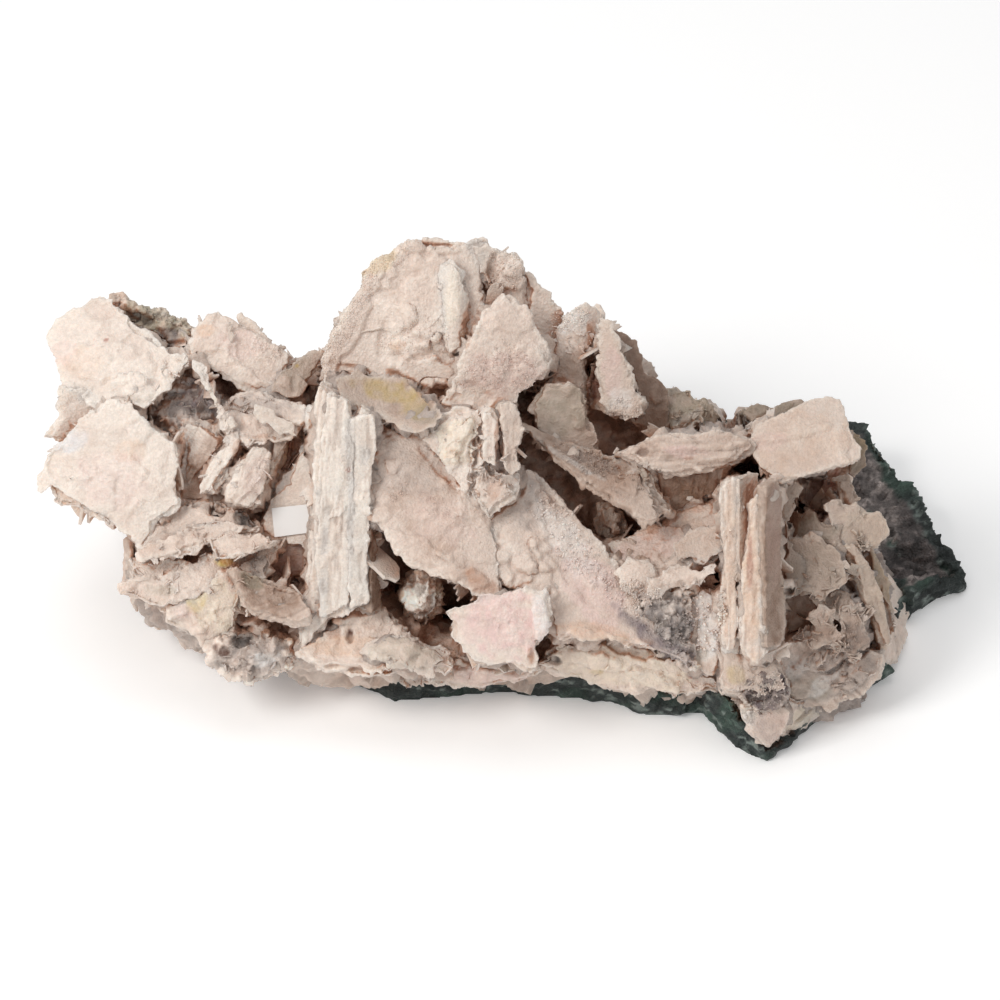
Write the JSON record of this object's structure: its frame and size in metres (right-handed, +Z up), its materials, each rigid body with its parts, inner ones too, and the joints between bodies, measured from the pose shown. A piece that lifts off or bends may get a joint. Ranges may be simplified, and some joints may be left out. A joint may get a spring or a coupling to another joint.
{
  "type": "quartz pseudomorph mineral specimen",
  "caption": "Bladed quartz pseudomorph: thin tabular quartz plates intergrown at all angles on a slab of dark basalt, with a small blank paper label on one blade; lies on the slab's flat underside.",
  "frame": {"origin": "on the floor under the middle of the specimen's bounding box", "axes": "+X to the right along the specimen's length, +Y away from its show face, +Z up from the slab's flat underside"},
  "size_m": [0.2669, 0.1454, 0.1146],
  "materials": {
    "quartz": "pinkish cream sugary quartz, pale crumbly rims, orange-brown stains in the hollows",
    "basalt": "rough green-black basalt with pale grey specks",
    "label_paper": "plain off-white paper"
  },
  "bodies": {
    "root": {"quartz_blades": "quartz", "basalt_matrix": "basalt", "paper_label": "label_paper"}
  },
  "joints": []
}
